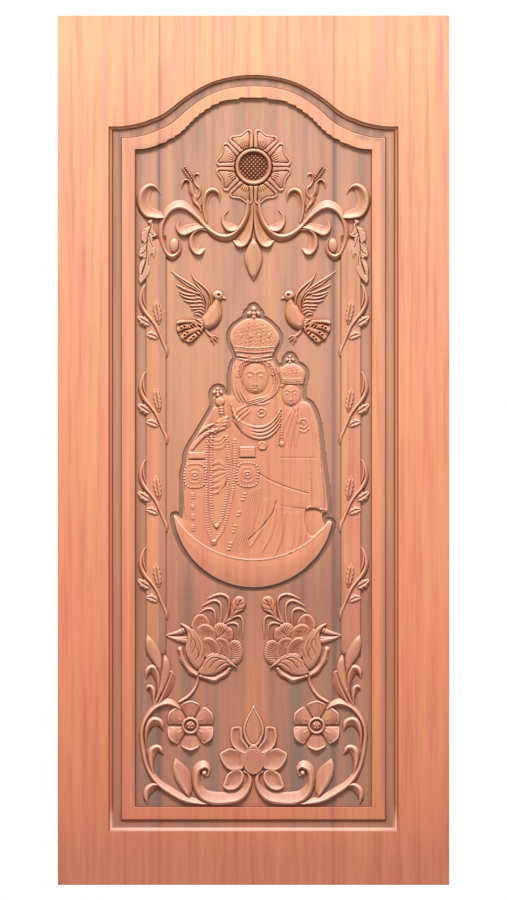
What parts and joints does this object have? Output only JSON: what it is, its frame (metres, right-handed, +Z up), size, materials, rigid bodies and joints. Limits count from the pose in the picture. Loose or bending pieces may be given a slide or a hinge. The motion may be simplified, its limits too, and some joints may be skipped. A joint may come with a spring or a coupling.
{
  "type": "carved wooden door leaf",
  "caption": "Solid-wood door leaf glued up from upright boards, with an arched recess, moulding and carved scrolls, flowers, birds and a figure group.",
  "frame": {"origin": "middle of the leaf's foot: halfway across its width and its thickness, on its lower edge", "axes": "+Z up the leaf, +X to the right seen from the carved face, -Y out of the carved face"},
  "size_m": [0.9, 0.04, 2],
  "materials": {
    "board_left": "stained and glazed, satin",
    "board_middle": "stained and glazed, satin",
    "board_right": "stained and glazed, satin"
  },
  "bodies": {
    "root": {"plank_left": "board_left", "plank_middle": "board_middle", "plank_right": "board_right"}
  },
  "joints": []
}
